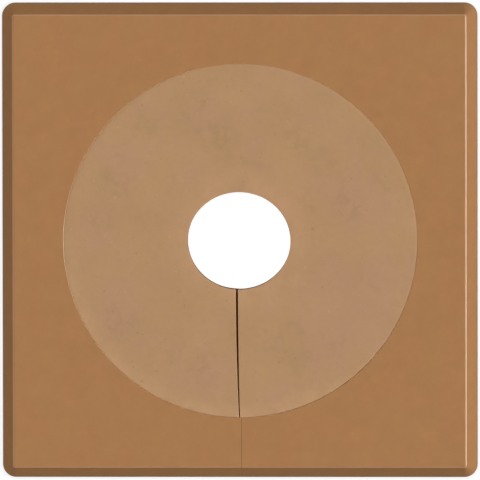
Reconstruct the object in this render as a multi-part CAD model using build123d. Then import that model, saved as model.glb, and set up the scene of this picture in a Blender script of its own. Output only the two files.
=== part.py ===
from build123d import *
from math import atan2, hypot, pi, tan
import os

# Split pipe escutcheon: a square moulded frame with a soft slit disc set in it, which closes round a pipe.
# The back lies on the wall at z = 0 and +Z points into the room. Seen from the room, +X is to the right,
# +Y is up, and the frame's split and the disc's slit run down towards -Y. All sizes are in millimetres.

# Frame, a hollow moulding of one wall thickness
frame_side = 100.0
frame_height = 6.0
frame_wall = 2.0
bevel_width = 2.4  # of the sloping edge, seen from the front
bevel_height = 4.2
face_corner_radius = 0.4  # the outline's corners are rounder by the bevel's width
face_edge_round = 0.6
skirt_edge_round = 2.4

# Ribs behind the face, from the collar to the corners
rib_wall = 1.4
rib_setback = 1.0  # from the wall, so that only the skirt and the collar rest on it

# Split that lets the frame spring open, closed at rest
split_gap = 0.05
split_x = 0.4
split_drift = 0.3  # to the right, from the face to the back, so that the split can't be seen through
split_wall = 1.6  # closes the hollow on each side of the split

# Disc, punched out of soft sheet
disc_radius = 37.1
disc_thickness = 3.0
disc_edge_chamfer = 0.12

# Seat of the disc: an opening with a ledge behind it, carried by a collar
disc_gap = 0.05  # all round the disc's rim
disc_recess = 0.04  # of the disc's face behind the frame's face
opening_round = 0.2
ledge_width = 3.0
ledge_wall = 1.5
collar_wall = 2.0
seat_x = 0.2  # the seat's centre lies a little off the frame's centre
seat_y = 0.1

# Pipe hole, a little wider than high because the slit disc relaxes sideways
hole_width = 21.6
hole_height = 20.5
hole_x = -0.28  # from the disc's centre

# Slit from the hole to the rim: it leaves the hole straight down and bends to the right
slit_gap_at_hole = 0.42
slit_gap_at_rim = 0.14
slit_x_at_hole = -0.76  # from the disc's centre
slit_x_at_rim = -0.2
slit_drift = 0.4  # to the right, from the sheet's front to its back

# How far a cutting tool runs past the surface that it cuts
overrun = 1.0

# Sizes that follow
pocket_height = frame_height - frame_wall
seat_level = frame_height - disc_recess - disc_thickness
opening_radius = disc_radius + disc_gap
ledge_radius = opening_radius - ledge_width
collar_radius = opening_radius + collar_wall

from_below = (Align.CENTER, Align.CENTER, Align.MIN)


def bevelled_block(side, height, slope_width, slope_height):
    """Square block, flat at the back, with rounded corners and its front edges sloped back all round."""
    outline = RectangleRounded(side, side, slope_width + face_corner_radius)
    block = extrude(outline, height)
    face = block.faces().sort_by(Axis.Z)[-1]
    return chamfer(face.edges(), slope_width, slope_height, reference=face)


def level_edges(solid, level):
    """The edges that lie flat at one height."""
    return solid.edges().filter_by(lambda edge: abs(edge.bounding_box().min.Z - level) < 1e-4
                                   and abs(edge.bounding_box().max.Z - level) < 1e-4)


def frame_outside():
    """The frame's outer form, with the edges of its bevel rounded."""
    block = bevelled_block(frame_side, frame_height, bevel_width, bevel_height)
    block = fillet(level_edges(block, frame_height), face_edge_round)
    return fillet(level_edges(block, frame_height - bevel_height), skirt_edge_round)


def frame_pocket():
    """The hollow behind the face: the outer form set in by the wall, less collar, ribs and split walls."""
    lean = atan2(bevel_width, bevel_height)
    slope_width = bevel_width - frame_wall * (1 - tan((pi / 2 - lean) / 2))
    slope_height = bevel_height - frame_wall * (1 - tan(lean / 2))
    pocket = bevelled_block(frame_side - 2 * frame_wall, pocket_height, slope_width, slope_height)
    pocket -= Pos(seat_x, seat_y) * Cylinder(collar_radius, pocket_height, align=from_below)
    for turn in (45, 135):
        rib = Box(2 * frame_side, rib_wall, pocket_height, align=from_below)
        pocket -= Pos(0, 0, rib_setback) * Rot(0, 0, turn) * rib
    split_bar = Box(2 * split_wall + split_gap, frame_side, pocket_height,
                    align=(Align.CENTER, Align.MAX, Align.MIN))
    pocket -= Pos(split_x + split_drift / 2, 0) * split_bar
    return pocket


def seat_cut():
    """What the disc's seat takes out of the frame, turned about the centre: bore, ledge and round mouth."""
    with BuildPart() as cut:
        with BuildSketch(Plane.XZ):
            with BuildLine():
                mouth = (opening_radius, frame_height - opening_round)
                Polyline(
                    (0, -overrun),
                    (opening_radius, -overrun),
                    (opening_radius, seat_level - ledge_wall),
                    (ledge_radius, seat_level - ledge_wall),
                    (ledge_radius, seat_level),
                    (opening_radius, seat_level),
                    mouth,
                )
                lip = TangentArc(mouth, (opening_radius + opening_round, frame_height), tangent=(0, 1))
                Polyline(
                    lip @ 1,
                    (opening_radius + opening_round, frame_height + overrun),
                    (0, frame_height + overrun),
                    (0, -overrun),
                )
            make_face()
        revolve(axis=Axis.Z)
    return Pos(seat_x, seat_y) * cut.part


def split_frame():
    """The finished frame, hollow behind and cut through from the opening to its lower edge."""
    split_line = Rectangle(split_gap, frame_side, align=(Align.CENTER, Align.MAX))
    split = extrude(Pos(split_x, 0, frame_height) * split_line, hypot(split_drift, frame_height),
                    dir=(split_drift, 0, -frame_height))
    return frame_outside() - frame_pocket() - seat_cut() - split


def slit_outline():
    """The slit on the sheet's front, from inside the hole to past the rim, narrowing towards the rim."""
    hole_end = overrun - hole_height / 2
    rim_end = -disc_radius - overrun
    half_at_hole = slit_gap_at_hole / 2
    half_at_rim = slit_gap_at_rim / 2
    with BuildSketch() as outline:
        with BuildLine():
            left = TangentArc((slit_x_at_hole - half_at_hole, hole_end),
                              (slit_x_at_rim - half_at_rim, rim_end), tangent=(0, -1))
            right = TangentArc((slit_x_at_hole + half_at_hole, hole_end),
                               (slit_x_at_rim + half_at_rim, rim_end), tangent=(0, -1))
            Line(left @ 0, right @ 0)
            Line(left @ 1, right @ 1)
        make_face()
    return outline.sketch


def seal_disc():
    """The soft disc on its ledge, with the pipe hole and the slit, which leans as a knife cut does."""
    sheet = Circle(disc_radius) - Pos(hole_x, 0) * Ellipse(hole_width / 2, hole_height / 2)
    disc = extrude(sheet, disc_thickness)
    disc = chamfer(level_edges(disc, disc_thickness), disc_edge_chamfer)
    disc -= extrude(Pos(0, 0, disc_thickness) * slit_outline(), hypot(slit_drift, disc_thickness),
                    dir=(slit_drift, 0, -disc_thickness))
    return Pos(seat_x, seat_y, seat_level) * disc


os.makedirs("parts", exist_ok=True)
export_step(split_frame(), "parts/split_frame.step")
export_step(seal_disc(), "parts/seal_disc.step")
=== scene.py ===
# %% [markdown]
# # A split pipe escutcheon
# This plate hides the ragged hole where a heating pipe comes out of a wall. It has two pieces. A square
# frame is moulded in tan plastic and split at the bottom, so that it springs open. A soft disc lies in the
# middle of it, slit from its hole to its rim, so that it closes round the pipe. The solids come from a
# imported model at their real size. This lesson keeps the frame's solid, remodels the soft disc as a finer
# mesh, gives both their finish, and adds a floor, light and a camera.

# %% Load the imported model
import math

import bmesh
import bpy
from mathutils import Matrix, Vector, noise


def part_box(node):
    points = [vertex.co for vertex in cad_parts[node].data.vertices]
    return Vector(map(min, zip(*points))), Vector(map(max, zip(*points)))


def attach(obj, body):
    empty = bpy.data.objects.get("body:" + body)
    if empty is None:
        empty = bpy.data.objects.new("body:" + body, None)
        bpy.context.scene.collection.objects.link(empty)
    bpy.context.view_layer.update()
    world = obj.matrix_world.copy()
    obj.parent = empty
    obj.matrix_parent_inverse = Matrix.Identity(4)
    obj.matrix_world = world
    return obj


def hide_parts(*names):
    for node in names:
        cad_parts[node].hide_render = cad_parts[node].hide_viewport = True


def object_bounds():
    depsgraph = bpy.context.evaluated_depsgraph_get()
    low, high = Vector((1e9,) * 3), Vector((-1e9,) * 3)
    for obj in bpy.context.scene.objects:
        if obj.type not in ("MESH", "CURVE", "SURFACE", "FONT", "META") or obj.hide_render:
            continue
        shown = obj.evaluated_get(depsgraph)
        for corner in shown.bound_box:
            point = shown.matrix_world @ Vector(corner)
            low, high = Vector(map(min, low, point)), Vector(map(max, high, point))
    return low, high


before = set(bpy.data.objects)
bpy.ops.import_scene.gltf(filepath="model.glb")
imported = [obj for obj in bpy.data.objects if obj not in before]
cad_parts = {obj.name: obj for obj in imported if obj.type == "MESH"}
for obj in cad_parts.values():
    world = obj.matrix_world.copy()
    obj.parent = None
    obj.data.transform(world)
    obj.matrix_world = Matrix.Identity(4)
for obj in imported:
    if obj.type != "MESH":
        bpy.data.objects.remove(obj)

cad_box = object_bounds()
mm = 0.001


def in_mm(metres):
    """A length in millimetres, rounded for printing."""
    return round(metres / mm, 3)


cad_sides = [in_mm(side) for side in cad_box[1] - cad_box[0]]
print("nodes", sorted(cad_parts), "in a box of", cad_sides, "mm")

# %% [markdown]
# ## Sizes that the solids give
# A number that the model already holds is better measured than typed again. The boxes of the two nodes give
# the level of the plate's face and the disc's place. The hole is measured on the disc's back, where its edge
# isn't broken: its corners are those that lie nearer to the middle than half the radius. The opening of the
# seat is measured on the frame's corners at the level of the ledge that the disc rests on.

# %% Measure the two boxes
disc_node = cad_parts["seal_disc"]
frame_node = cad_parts["split_frame"]
disc_low, disc_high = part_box("seal_disc")
frame_low, frame_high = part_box("split_frame")
face_level = frame_high.z
disc_middle = (disc_low + disc_high) / 2
disc_radius = (disc_high.x - disc_low.x) / 2
disc_top = disc_high.z
disc_thickness = disc_high.z - disc_low.z
print("plate", in_mm(frame_high.x - frame_low.x), "mm wide, its face at", in_mm(face_level), "mm")
print("disc", in_mm(disc_radius), "mm in radius and", in_mm(disc_thickness), "mm thick")

# %% Measure the hole and the seat
ledge_tolerance = 0.01 * mm
seat_margin = 1.05  # the opening is at most this many times as wide as the disc


def corners_at(node, level, tolerance):
    """A node's corners at about one level, as seen from the disc's middle."""
    return [v.co - disc_middle for v in node.data.vertices if abs(v.co.z - level) < tolerance]


back_corners = corners_at(disc_node, disc_low.z, disc_thickness / 4)
hole_corners = [p for p in back_corners if p.to_2d().length < disc_radius / 2]
hole_left = min(p.x for p in hole_corners)
hole_right = max(p.x for p in hole_corners)
hole_half_width = (hole_right - hole_left) / 2
hole_half_height = max(p.y for p in hole_corners)
hole_x = (hole_right + hole_left) / 2
print("hole", in_mm(2 * hole_half_width), "by", in_mm(2 * hole_half_height), "mm")

ledge_reaches = [p.to_2d().length for p in corners_at(frame_node, disc_low.z, ledge_tolerance)]
opening_radius = max(reach for reach in ledge_reaches if reach < seat_margin * disc_radius)
print("opening", in_mm(opening_radius), "mm in radius")

# %% [markdown]
# ## The soft disc
# The real disc is punched out of a 3 mm rubber sheet and slit with a knife. The solid has its outline, but a
# soft sheet is never that exact. Its edges are rounded, it waves a little, and its rim curls up a trace at
# the lower left. The slit leans and closes towards the back, and one of its lips lies higher than the other.
# The rim swells into the round mouth of the seat, apart from the lower right, where it is loose, and the
# upper left, where it sinks a little and leaves the mouth bare. A cylinder with a boolean hole would give
# none of this. So the sheet is swept: one cross-section, from the hole to the rim and back underneath, is
# carried round from the right lip of the slit to the left lip.

# %% Where the slit runs
slit_gap_at_hole = 0.42 * mm
slit_gap_at_rim = 0.14 * mm
slit_x_at_hole = -0.76 * mm
slit_x_at_rim = -0.2 * mm
slit_overrun = 1.0 * mm  # its line starts inside the hole and ends past the rim
RIGHT, LEFT = 1, -1


def lip_x(side, reach):
    """How far a lip lies from the line straight down from the middle, at a distance from the middle."""
    start = hole_half_height - slit_overrun
    end = disc_radius + slit_overrun
    share = ((reach - start) / (end - start)) ** 2
    at_hole = slit_x_at_hole + side * slit_gap_at_hole / 2
    at_rim = slit_x_at_rim + side * slit_gap_at_rim / 2
    return at_hole + (at_rim - at_hole) * share


print("lips at the rim", [in_mm(lip_x(side, disc_radius)) for side in (LEFT, RIGHT)], "mm from the middle")

# %% Where the edge of the hole runs
DOWN = -math.pi / 2


def hole_reach(angle):
    """Distance from the disc's middle to the edge of the oval hole, in one direction."""
    across = math.cos(angle) / hole_half_width
    up = math.sin(angle) / hole_half_height
    offset = hole_x / hole_half_width
    a = across ** 2 + up ** 2
    b = -2 * across * offset
    c = offset ** 2 - 1
    return (-b + math.sqrt(b * b - 4 * a * c)) / (2 * a)


slit_length = disc_radius - hole_reach(DOWN)
print("slit", in_mm(slit_length), "mm long")

# %% How the rim fills the seat
rim_gap_least = 0.004 * mm
rim_gap_most = 0.035 * mm
slack_direction = math.radians(308)
bare_direction = math.radians(158)
near_power = 6  # more of it makes the stretch round a direction shorter
rim_flare = 0.075 * mm
mouth_depth = 0.12 * mm


def near(angle, direction):
    """1 in one direction, falling smoothly to 0 on both sides of it."""
    return ((1 + math.cos(angle - direction)) / 2) ** near_power


def rim_reach(angle, depth):
    """Distance from the disc's middle to its rim, which swells into the round mouth of the seat."""
    loose = near(angle, slack_direction)
    gap = rim_gap_least + (rim_gap_most - rim_gap_least) * loose
    flare = rim_flare * (1 - loose) * (1 - near(angle, bare_direction))
    return opening_radius - gap + flare * max(0, 1 - depth / mouth_depth)


print("gap at the loose rim", in_mm(opening_radius - rim_reach(slack_direction, 0)), "mm")

# %% Relief of the sheet's front
swell = 0.015 * mm
wave_height = 0.016 * mm
wave_length = 11 * mm
curl_height = 0.025 * mm
curl_width = 0.9 * mm
curl_direction = math.radians(234)
curl_power = 5
sink_depth = 0.06 * mm
sink_width = 0.3 * mm
lip_lift = 0.03 * mm
lip_lift_width = 2.5 * mm


def fade(distance, width):
    """0 from the width on, rising smoothly to 1 at no distance, and on past 1 beyond that."""
    return max(0, 1 - distance / width) ** 2


def relief(x, y, lip_side, lip_distance):
    """How far the sheet's front stands above its level plane."""
    height = swell + wave_height * noise.noise(Vector((x, y, 0)) / wave_length)
    angle = math.atan2(y, x)
    from_rim = disc_radius - math.hypot(x, y)
    at_curl = max(0, math.cos(angle - curl_direction)) ** curl_power
    height += curl_height * at_curl * fade(from_rim, curl_width)
    height -= sink_depth * near(angle, bare_direction) * min(1, fade(from_rim, sink_width))
    if lip_side == LEFT:
        height += lip_lift * fade(lip_distance, lip_lift_width)
    return height


curl_x = disc_radius * math.cos(curl_direction)
curl_y = disc_radius * math.sin(curl_direction)
print("curled rim", in_mm(relief(curl_x, curl_y, RIGHT, disc_radius)), "mm above the level plane")

# %% The cross-section
edge_round = 0.05 * mm
edge_steps = 4
sheet_steps = 44


def section():
    """Points of the front, from hole to rim, as share of the way, distance added to it, and depth."""
    quarter = [math.pi / 2 * k / edge_steps for k in range(edge_steps + 1)]
    rounding = [(edge_round * (1 - math.cos(a)), edge_round * (1 - math.sin(a))) for a in quarter]
    at_hole = [(0.0, inset, depth) for inset, depth in rounding]
    shares = [k / sheet_steps for k in range(1, sheet_steps)]
    between = [(share, edge_round * (1 - 2 * share), 0.0) for share in shares]
    at_rim = [(1.0, -inset, depth) for inset, depth in reversed(rounding)]
    return at_hole + between + at_rim + [(1.0, 0.0, mouth_depth)]


print("section of", len(section()), "points in front")

# %% The columns that it visits
lip_columns = [step * mm for step in (0.0, 0.01, 0.03, 0.05, 0.08, 0.12, 0.16, 0.2, 0.4, 0.8, 1.3)]
round_columns = 288
column_count = 2 * len(lip_columns) + round_columns - 1


def column_places(arc):
    """Distances along an arc from the right lip to the left lip, close together near both lips."""
    middle = arc - 2 * lip_columns[-1]
    evenly = [lip_columns[-1] + middle * k / round_columns for k in range(1, round_columns)]
    return lip_columns + evenly + [arc - step for step in reversed(lip_columns)]


print(column_count, "columns")

# %% How the lips are cut
lip_round = {RIGHT: 0.08 * mm, LEFT: 0.2 * mm}
slit_gap_behind = 0.02 * mm
slit_drift = 0.4 * mm  # to the right, from the sheet's front to its back


def lip_rounding(side, distance):
    """Depth by which the edge of a lip is rounded off."""
    inside = max(0, 1 - distance / lip_round[side])
    return lip_round[side] * (1 - math.sqrt(1 - inside ** 2))


def lip_shift(side, distance, reach, depth):
    """How far the sheet beside the slit moves sideways: the cut leans to the right and closes behind."""
    pinch = (lip_x(RIGHT, reach) - lip_x(LEFT, reach)) / 2 - slit_gap_behind / 2
    lean = (depth / disc_thickness) * max(0, 1 - distance / lip_lift_width)
    return lean * (slit_drift - side * pinch)


for name, side in (("left", LEFT), ("right", RIGHT)):
    lip_behind = lip_x(side, disc_radius) + lip_shift(side, 0, disc_radius, disc_thickness)
    print(name, "lip at the back of the rim", in_mm(lip_behind), "mm from the middle")

# %% One point of the sheet
def sheet_point(share, added, depth, column):
    """A point of the section in one column, relative to the middle of the sheet's front."""
    reach_down = hole_reach(DOWN) + share * slit_length + added
    first, last = [DOWN + math.asin(lip_x(side, reach_down) / reach_down) for side in (RIGHT, LEFT)]
    arc = reach_down * (last + 2 * math.pi - first)
    place = column_places(arc)[column]
    lip_side = RIGHT if place < arc / 2 else LEFT
    lip_distance = min(place, arc - place)
    angle = first + place / reach_down
    hole = hole_reach(angle)
    reach = hole + share * (rim_reach(angle, depth) - hole) + added
    x, y = reach * math.cos(angle), reach * math.sin(angle)
    on_front = 1 - depth / disc_thickness
    height = on_front * relief(x, y, lip_side, lip_distance)
    height -= max(depth, lip_rounding(lip_side, lip_distance))
    return Vector((x + lip_shift(lip_side, lip_distance, reach_down, depth), y, height))


opposite_slit = sheet_point(1.0, 0.0, mouth_depth, column_count // 2)
print("rim opposite the slit", [in_mm(v) for v in opposite_slit], "mm from the front's middle")

# %% Sweep the section round
sharp_angle = math.radians(40)


def sweep_sheet(name):
    """The whole disc as one closed mesh."""
    front = section()
    back = [(share, added, disc_thickness) for share, added, depth in reversed(front[:-1])]
    loop = front + [(1.0, 0.0, disc_thickness - mouth_depth)] + back
    mesh = bpy.data.meshes.new(name)
    disc = bpy.data.objects.new(name, mesh)
    bpy.context.scene.collection.objects.link(disc)
    made = bmesh.new()
    origin = Vector((disc_middle.x, disc_middle.y, disc_top))
    columns = []
    for column in range(column_count):
        columns.append([made.verts.new(origin + sheet_point(*point, column)) for point in loop])
    for here, there in zip(columns, columns[1:]):
        for k in range(len(loop)):
            made.faces.new((here[k - 1], here[k], there[k], there[k - 1]))
    for end in (columns[0], columns[-1]):
        for k in range(len(front) - 1):
            made.faces.new((end[k], end[k + 1], end[-k - 2], end[-k - 1]))
    bmesh.ops.recalc_face_normals(made, faces=made.faces)
    made.to_mesh(mesh)
    made.free()
    mesh.shade_smooth()
    mesh.set_sharp_from_angle(angle=sharp_angle)
    return disc


soft_disc = sweep_sheet("soft_disc")
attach(soft_disc, "root")
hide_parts("seal_disc")
print("soft_disc", len(soft_disc.data.polygons), "faces")

# %% [markdown]
# ## Shader sums
# A finish is a tree of nodes, and most of its nodes are arithmetic. Written out node by node, a sum takes
# ten lines. So one small class wraps a socket and overloads Python's operators: `1 - mask * 0.5` then adds
# the Math nodes by itself. Every other kind of node comes from one method, which takes the node's type, its
# settings, and what goes into its sockets.

# %% Sockets that stand in Python sums
class Shade:
    """An output socket of a node tree. Each operator on it adds one Math node."""

    def __init__(self, tree, socket=None):
        self.tree = tree
        self.socket = socket

    def node(self, kind, settings=None, sockets=None, out=0):
        """Adds a node of any kind: first its settings, then the values or links of its sockets."""
        made = self.tree.nodes.new(kind)
        for name, value in (settings or {}).items():
            setattr(made, name, value)
        for name, value in (sockets or {}).items():
            if isinstance(value, Shade):
                self.tree.links.new(value.socket, made.inputs[name])
            else:
                made.inputs[name].default_value = value
        return Shade(self.tree, None if out is None else made.outputs[out])

    def sum(self, operation, *terms):
        """One Math node."""
        return self.node("ShaderNodeMath", {"operation": operation}, dict(enumerate(terms)))

    def __add__(self, other):
        return self.sum("ADD", self, other)

    def __sub__(self, other):
        return self.sum("SUBTRACT", self, other)

    def __rsub__(self, other):
        return self.sum("SUBTRACT", other, self)

    def __mul__(self, other):
        return self.sum("MULTIPLY", self, other)

    def __abs__(self):
        return self.sum("ABSOLUTE", self)

    __radd__ = __add__
    __rmul__ = __mul__

    def rise(self, start, end):
        """0 up to start and 1 from end on, with a smooth step between. It falls where end comes first."""
        sockets = {"Value": self, "From Min": start, "From Max": end}
        return self.node("ShaderNodeMapRange", {"interpolation_type": "SMOOTHSTEP"}, sockets)

    def tint(self, below, above):
        """A colour that goes from below to above as this value goes from 0 to 1."""
        return self.node("ShaderNodeMix", {"data_type": "RGBA"}, {0: self, 6: below, 7: above}, out=2)


# %% Helpers for every finish
def new_tree(owner):
    """An emptied node tree of a material or world."""
    owner.use_nodes = True
    owner.node_tree.nodes.clear()
    return Shade(owner.node_tree)


def along_axis(vector, axis):
    """One coordinate of a vector."""
    return vector.node("ShaderNodeSeparateXYZ", None, {"Vector": vector}, out=axis)


def spots(place, size, detail=2.0, rough=0.5, seed=0.0):
    """Soft noise from about 0 to 1, with patches of about one size."""
    sockets = {"Vector": place, "W": seed, "Scale": 1 / size, "Detail": detail, "Roughness": rough}
    return place.node("ShaderNodeTexNoise", {"noise_dimensions": "4D"}, sockets)


def rgb(red, green, blue):
    """An opaque colour."""
    return (red, green, blue, 1.0)


def scaled(colour, level):
    """A colour times a value. It takes Vector Math, because a Math node would turn the colour grey."""
    return colour.node("ShaderNodeVectorMath", {"operation": "SCALE"}, {0: colour, "Scale": level})


# %% [markdown]
# ## Tan plastic
# The frame is moulded in plain tan plastic with a satin skin. Its colour is almost even: it has faint clouds
# where the melt flowed, and a fine grain that it took from the mould. Both come from noise in the object's
# own space, so they stay in place from every side. The grain goes through a Bump node, since it is finer
# than any mesh needs to be. The rounded edges get a painted highlight, a paler colour, and a coat polishes
# them. The steep skirt gets painted shade, a darker colour, and a weaker shine. The surface's normal tells
# them apart: its Z is 1 on the face and 0 on an upright wall. The polish is a clear coat, because a coat's
# weight can differ from place to place.

# %% Edges and skirt, by the Z of the normal
edge_after_face = (0.98, 0.87)
edge_before_bevel = (0.56, 0.67)
skirt_limits = (0.48, 0.25)


def edge_and_skirt(tree):
    """Two masks: the rounding between face and bevel, and what is steeper than the bevel."""
    facing = along_axis(tree.node("ShaderNodeTexCoord", out="Normal"), "Z")
    edge = facing.rise(*edge_after_face) * facing.rise(*edge_before_bevel)
    return edge, facing.rise(*skirt_limits)


for zone, limits in (("edge", edge_after_face + edge_before_bevel), ("skirt", skirt_limits)):
    print(zone, "limits at tilts of", sorted(round(math.degrees(math.acos(z))) for z in limits), "degrees")

# %% Colour of the plastic
tan_red = rgb(0.3935, 0.1912, 0.0795)
tan_green = rgb(0.3845, 0.1928, 0.0795)
flush_size = 7 * mm
flush_limits = (0.3, 0.7)
cloud_size = 2.4 * mm
cloud_depth = 0.24
# A painted highlight makes the rounded edge paler.
edge_painted_highlight = 0.18
# Painted shade makes the steep skirt darker.
skirt_painted_shade = 0.2


def tan_colour(place, edge, skirt):
    """Clouded tan, with a painted highlight that pales the edge and painted shade that darkens the skirt."""
    flush = spots(place, flush_size, detail=3.0).rise(*flush_limits)
    cloud = spots(place, cloud_size, detail=5.0, rough=0.6, seed=2.0)
    level = 1 - cloud_depth / 2 + cloud_depth * cloud
    # Painted shade darkens the skirt, and a painted highlight pales the rounded edge.
    level = level * (1 - skirt_painted_shade * skirt) * (1 + edge_painted_highlight * edge)
    return scaled(flush.tint(tan_green, tan_red), level)


print("clouds about", in_mm(cloud_size), "mm across")

# %% The frame's finish
grain_size = 0.3 * mm
grain_height = 0.01 * mm
satin_roughness = 0.34
grain_roughness = 0.08
edge_polish = 0.9
skirt_polish = 0.25


def tan_plastic():
    """Satin moulded plastic with polished edges."""
    material = bpy.data.materials.new("tan_plastic")
    tree = new_tree(material)
    place = tree.node("ShaderNodeTexCoord", out="Object")
    edge, skirt = edge_and_skirt(tree)
    grain = spots(place, grain_size, detail=2.0, seed=3.0)
    bump = tree.node("ShaderNodeBump", None, {"Strength": 0.25, "Distance": grain_height, "Height": grain})
    surface = tree.node("ShaderNodeBsdfPrincipled", None, {
        "Base Color": tan_colour(place, edge, skirt),
        "Roughness": satin_roughness + grain_roughness * grain,
        "IOR": 1.46,
        "Specular IOR Level": 0.008,
        "Coat Weight": edge_polish * edge + skirt_polish * skirt,
        "Coat Roughness": 0.45,
        "Coat IOR": 2.0,
        "Normal": bump,
    })
    tree.node("ShaderNodeOutputMaterial", None, {"Surface": surface}, out=None)
    return material


frame_node.data.materials.clear()
frame_node.data.materials.append(tan_plastic())
print("split_frame has", [m.name for m in frame_node.data.materials])

# %% [markdown]
# ## Soft rubber
# The disc is matt and paler than the frame. Use has left marks on it. Patches lean towards mauve or towards
# olive, it is smudged in some places, and it has small dark and light specks. It is paler round the edge of
# the hole, and along the rim at the lower left. The walls of the slit and of the hole get painted shade: a
# deeper, redder brown, as light hardly reaches into the narrow cuts. An image could hold all this, but noise
# needs no file and never runs out of detail.
# The main smudges and mauve patches are listed, and noise breaks them up. Distances from the middle
# and from the slit come from the object's own coordinates.

# %% Marks at listed places
smudges = (
    (-9, 28, 6), (-5, 22, 7), (-20, 24, 5), (-26, 14, 7), (-30, 5, 5), (-26, -17, 6),
    (-15, -23, 7), (-8, -27, 6), (17, 17, 5), (14, 8, 5), (8, -20, 5),
)
mauve_patches = (
    (25, -14, 18), (25, 9, 11), (-29, 3, 7), (-26, -16, 7), (-24, 16, 8), (-8, -27, 9), (-9, 27, 7),
)
mark_core = 0.25  # of a mark's radius, where it is at its full strength


def vector_sum(operation, first, second, out=0):
    """One Vector Math node on two vectors. Its out is Value where the result is a number."""
    return first.node("ShaderNodeVectorMath", {"operation": operation}, {0: first, 1: second}, out=out)


def near_any(place, marks):
    """1 in the middle of each mark, falling to 0 at its edge. Marks are x, y and radius in millimetres."""
    nearest = 0.0
    for x, y, radius in marks:
        middle = disc_middle + Vector((x, y, 0)) * mm
        away = vector_sum("DISTANCE", place, middle, out="Value")
        nearest = place.sum("MAXIMUM", nearest, away.rise(radius * mm, radius * mm * mark_core))
    return nearest


print(len(smudges), "smudges and", len(mauve_patches), "mauve patches")

# %% Patches of mauve and olive
rubber_olive = rgb(0.429, 0.2548, 0.1262)
rubber_mauve = rgb(0.437, 0.2535, 0.1425)
patch_size = 7 * mm
patch_pull = 0.17
patch_limits = (0.44, 0.68)


def patched(place):
    """The sheet's own colour."""
    cloud = spots(place, patch_size, detail=6.0, rough=0.68, seed=1.0)
    mauve = (cloud + patch_pull * near_any(place, mauve_patches)).rise(*patch_limits)
    return mauve.tint(rubber_olive, rubber_mauve)


print("patches about", in_mm(patch_size), "mm across")

# %% Where it is paler
rubber_paler_near_hole = rgb(0.472, 0.275, 0.146)
paler_reach = (18 * mm, 10 * mm)
paler_size = 5 * mm
paler_limits = (0.25, 0.6)
rubber_rim = rgb(0.49, 0.29, 0.155)
rim_width = 4 * mm
rim_size = 4 * mm
rim_limits = (0.2, 0.7)
lower_left = (-0.42, -0.91, 0.0)
lower_left_reach = (0 * mm, 34 * mm)


def paler_zones(colour, place, from_middle, reach):
    """The colour with a paler zone round the hole and a paler rim at the lower left."""
    uneven = spots(place, paler_size, detail=3.0, seed=9.0).rise(*paler_limits)
    colour = (reach.rise(*paler_reach) * uneven).tint(colour, rubber_paler_near_hole)
    side = vector_sum("DOT_PRODUCT", from_middle, lower_left, out="Value")
    at_rim = reach.rise(disc_radius - rim_width, disc_radius) * side.rise(*lower_left_reach)
    uneven = spots(place, rim_size, detail=3.0, seed=10.0).rise(*rim_limits)
    return (at_rim * uneven).tint(colour, rubber_rim)


# How far the paler zone round the hole reaches:
print("rubbed paler up to", in_mm(max(paler_reach)), "mm from the middle")

# %% Specks and dust
rubber_speck = rgb(0.30, 0.16, 0.075)
speck_size = 1.0 * mm
speck_limits = (0.69, 0.75)
speck_share = 0.42
rubber_dust = rgb(0.53, 0.36, 0.21)
dust_size = 0.9 * mm
dust_limits = (0.72, 0.78)
dust_share = 0.36


def specked(colour, place):
    """The colour with small dark specks and small pale grains of dust."""
    speck = spots(place, speck_size, detail=1.0, seed=5.0).rise(*speck_limits)
    dust = spots(place, dust_size, detail=1.0, seed=6.0).rise(*dust_limits)
    colour = (speck * speck_share).tint(colour, rubber_speck)
    return (dust * dust_share).tint(colour, rubber_dust)


print("specks from noise of", in_mm(speck_size), "mm and dust from noise of", in_mm(dust_size), "mm")

# %% Smudges
dirt_size = 12 * mm
dirt_limits = (0.5, 0.65)
dirt_inner_reach = (13 * mm, 18 * mm)
dirt_outer_reach = (35 * mm, 30 * mm)
smudge_size = 2.2 * mm
smudge_limits = (0.42, 0.68)


def smudged(place, reach):
    """1 on a smudge and 0 on clean rubber."""
    dirt = spots(place, dirt_size, detail=2.0, seed=7.0).rise(*dirt_limits)
    dirt = dirt * reach.rise(*dirt_inner_reach) * reach.rise(*dirt_outer_reach)
    dirt = place.sum("MAXIMUM", dirt, near_any(place, smudges))
    return dirt * spots(place, smudge_size, detail=4.0, rough=0.6, seed=8.0).rise(*smudge_limits)


print("smudges broken up by noise of", in_mm(smudge_size), "mm")

# %% Painted shade on the cut walls
# Painted shade: a dark, redder brown where the narrow cuts lie in shade.
rubber_wall_shade = rgb(0.21, 0.045, 0.004)
upright_limits = (0.8, 0.4)  # of the normal's Z, up or down
cut_heights = (1.32 * mm, 0.9 * mm)  # above the sheet's middle, so just under its front
slit_across = (2.0 * mm, 1.5 * mm)
slit_below = (-10.4 * mm, -11 * mm)
hole_shade_share = 0.45


def painted_wall_shade(tree, from_middle):
    """Painted shade, 1 on the slit's walls and less on the hole's wall, which light reaches more easily."""
    across, along, height = [along_axis(from_middle, axis) for axis in "XYZ"]
    facing = along_axis(tree.node("ShaderNodeTexCoord", out="Normal"), "Z")
    wall = abs(facing).rise(*upright_limits) * height.rise(*cut_heights)
    in_slit = abs(across).rise(*slit_across) * along.rise(*slit_below)
    return wall * (hole_shade_share + (1 - hole_shade_share) * in_slit)


# Where the painted shade starts:
print("cut colour from", in_mm(disc_thickness / 2 - max(cut_heights)), "mm under the front")

# %% The disc's finish
rubber_level = 0.8495
shade_size = 9 * mm
shade_depth = 0.19
grit_size = 1.1 * mm
grit_depth = 0.14
smudge_depth = 0.095
skin_size = 0.4 * mm
skin_height = 0.01 * mm
shade_swell = 4
matt_roughness = 0.78
skin_roughness = 0.1


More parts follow.
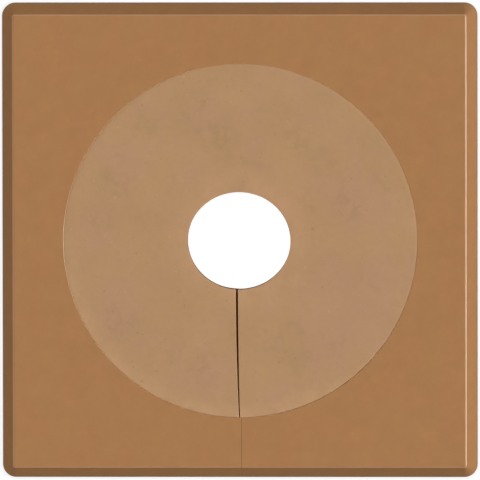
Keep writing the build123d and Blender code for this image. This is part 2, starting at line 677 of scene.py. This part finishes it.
def soft_rubber():
    """Matt, patched and smudged rubber sheet."""
    material = bpy.data.materials.new("soft_rubber")
    tree = new_tree(material)
    place = tree.node("ShaderNodeTexCoord", out="Object")
    from_middle = vector_sum("SUBTRACT", place, disc_middle)
    flat = vector_sum("MULTIPLY", from_middle, (1, 1, 0))
    reach = tree.node("ShaderNodeVectorMath", {"operation": "LENGTH"}, {0: flat}, out="Value")
    shade = spots(place, shade_size, detail=6.0, rough=0.65, seed=2.0)
    grit = spots(place, grit_size, detail=3.0, rough=0.6, seed=11.0)
    skin = spots(place, skin_size, detail=2.0, seed=4.0)
    level = rubber_level + shade_depth * shade + grit_depth * grit - smudge_depth * smudged(place, reach)
    colour = specked(paler_zones(patched(place), place, from_middle, reach), place)
    # Painted shade on the walls of the slit and the hole:
    colour = painted_wall_shade(tree, from_middle).tint(scaled(colour, level), rubber_wall_shade)
    height = skin + shade_swell * shade
    bump = tree.node("ShaderNodeBump", None, {"Strength": 0.3, "Distance": skin_height, "Height": height})
    surface = tree.node("ShaderNodeBsdfPrincipled", None, {
        "Base Color": colour,
        "Roughness": matt_roughness + skin_roughness * skin,
        "IOR": 1.4,
        "Specular IOR Level": 0.05,
        "Normal": bump,
    })
    tree.node("ShaderNodeOutputMaterial", None, {"Surface": surface}, out=None)
    return material


soft_disc.data.materials.append(soft_rubber())
print("soft_disc has", [m.name for m in soft_disc.data.materials])

# %% [markdown]
# ## Floor
# The plate lies on a plain white floor. Lit as the plate is, even a white floor turns grey in a picture, so
# the floor gives off some light of its own, but only to rays that come from the camera, from a reflection or
# through glass. It still takes the plate's shadow and sends only its ordinary share of light back at the
# plate. The plate shades what lies under its hole, so there the floor gives off more. How much goes into the
# factor of a Mix Shader, not into the strength of the glow.

# %% A white floor
floor_half = 6.0
floor_drop = 0.02 * mm
floor_colour = rgb(0.36, 0.36, 0.36)
floor_glow = 0.67
hole_glow = 0.86
hole_glow_reach = (16 * mm, 12 * mm)


def white_floor():
    """Diffuse white that glows for camera, glossy and transmitted rays."""
    material = bpy.data.materials.new("white_floor")
    tree = new_tree(material)
    seen = tree.node("ShaderNodeLightPath", out="Is Camera Ray")
    for ray in ("Is Glossy Ray", "Is Transmission Ray"):
        seen = seen + tree.node("ShaderNodeLightPath", out=ray)
    place = tree.node("ShaderNodeTexCoord", out="Object")
    reach = tree.node("ShaderNodeVectorMath", {"operation": "LENGTH"}, {0: place}, out="Value")
    strength = floor_glow + (hole_glow - floor_glow) * reach.rise(*hole_glow_reach)
    lit = tree.node("ShaderNodeBsdfDiffuse", None, {"Color": floor_colour})
    white = tree.node("ShaderNodeEmission", None, {"Strength": 1.0})
    glow = tree.node("ShaderNodeMixShader", None, {0: strength * seen, 2: white})
    both = tree.node("ShaderNodeAddShader", None, {0: lit, 1: glow})
    tree.node("ShaderNodeOutputMaterial", None, {"Surface": both}, out=None)
    return material


floor_mesh = bpy.data.meshes.new("floor")
corners = [(x * floor_half, y * floor_half, -floor_drop) for x, y in ((-1, -1), (1, -1), (1, 1), (-1, 1))]
floor_mesh.from_pydata(corners, [], [(0, 1, 2, 3)])
floor_mesh.materials.append(white_floor())
floor = bpy.data.objects.new("floor", floor_mesh)
bpy.context.scene.collection.objects.link(floor)
print("floor", 2 * floor_half, "m wide")

# %% [markdown]
# ## Light
# The plate was lit softly from above, with a stronger light low on the right: the right bevel shines, and
# the other three are dim. A ring of soft sky stands for the overhead boxes. It lights the face fully and the
# steep bevels less, it is dimmer straight above, where the camera is, and it is brighter towards the top of
# the picture, where the bevel is the brightest of the three. A sun with a small disc, straight from the
# right, stands for the low light. Lamps near the plate could do the same, but a sky and a sun light the
# floor evenly, however far it runs.

# %% Sky ring
ring_level = 3.96
ring_middle = 0.25
ring_tilt = 0.65
ring_outside = (0.80, 0.88)  # of the height of a direction, which is 1 straight up
ring_inside = (0.965, 0.985)
sky_level = 0.05


def studio_sky():
    """A faint even sky with a soft ring of light between 13 and 33 degrees from straight up."""
    world = bpy.data.worlds.new("studio_sky")
    bpy.context.scene.world = world
    tree = new_tree(world)
    direction = tree.node("ShaderNodeTexCoord", out="Generated")
    up = along_axis(direction, "Z")
    north = along_axis(direction, "Y")
    ring = up.rise(*ring_outside) * (1 - (1 - ring_middle) * up.rise(*ring_inside)) * (1 + ring_tilt * north)
    light = tree.node("ShaderNodeBackground", None, {"Strength": sky_level + ring_level * ring})
    tree.node("ShaderNodeOutputWorld", None, {"Surface": light}, out=None)


studio_sky()
print("sky of", sky_level, "with a ring of", ring_level)

# %% Low sun
sun_level = 0.6
sun_zenith_angle = math.radians(77)
sun_size = math.radians(8)


def low_sun():
    """The stronger light, low on the right."""
    lamp = bpy.data.lights.new("low_sun", "SUN")
    lamp.energy = sun_level * math.pi
    lamp.angle = sun_size
    sun = bpy.data.objects.new("low_sun", lamp)
    sun.rotation_euler = (0, sun_zenith_angle, 0)
    bpy.context.scene.collection.objects.link(sun)


low_sun()
print("sun", round(math.degrees(sun_zenith_angle)), "degrees from straight up")

# %% [markdown]
# ## Camera
# The picture was taken from almost straight in front. The right and upper bevels look a little wider than
# the others, so the lens stood slightly to the right and above. A long lens far away keeps the square's
# sides parallel, as they are in the picture. A camera that tracks a target keeps the world's Z upright, and
# looking down along Z that would turn the plate round in the picture. So the camera's axes are worked out
# instead, with the lower edge of the plate level.

# %% A long lens, almost straight in front
camera_distance = 3.4
camera_lean = (0.025, 0.062)
picture_width = 100.95 * mm
aim = Vector((0.05 * mm, 0.11 * mm, face_level / 2))
plate_right = Vector((1, 0, 0))

camera = bpy.data.cameras.new("camera")
camera.lens = camera.sensor_width * camera_distance / picture_width
camera_object = bpy.data.objects.new("camera", camera)
towards_camera = Vector((*camera_lean, 1.0)).normalized()
camera_object.location = aim + towards_camera * camera_distance
picture_up = towards_camera.cross(plate_right).normalized()
picture_right = picture_up.cross(towards_camera)
camera_axes = Matrix((picture_right, picture_up, towards_camera)).transposed()
camera_object.rotation_euler = camera_axes.to_euler()
bpy.context.scene.collection.objects.link(camera_object)
bpy.context.scene.camera = camera_object
print("lens", round(camera.lens), "mm at", camera_distance, "m")

# %% [markdown]
# ## Finish
# Colours are shown as they are written, without a film look.

# %% Show colours as they are written
bpy.context.scene.view_settings.view_transform = "Standard"
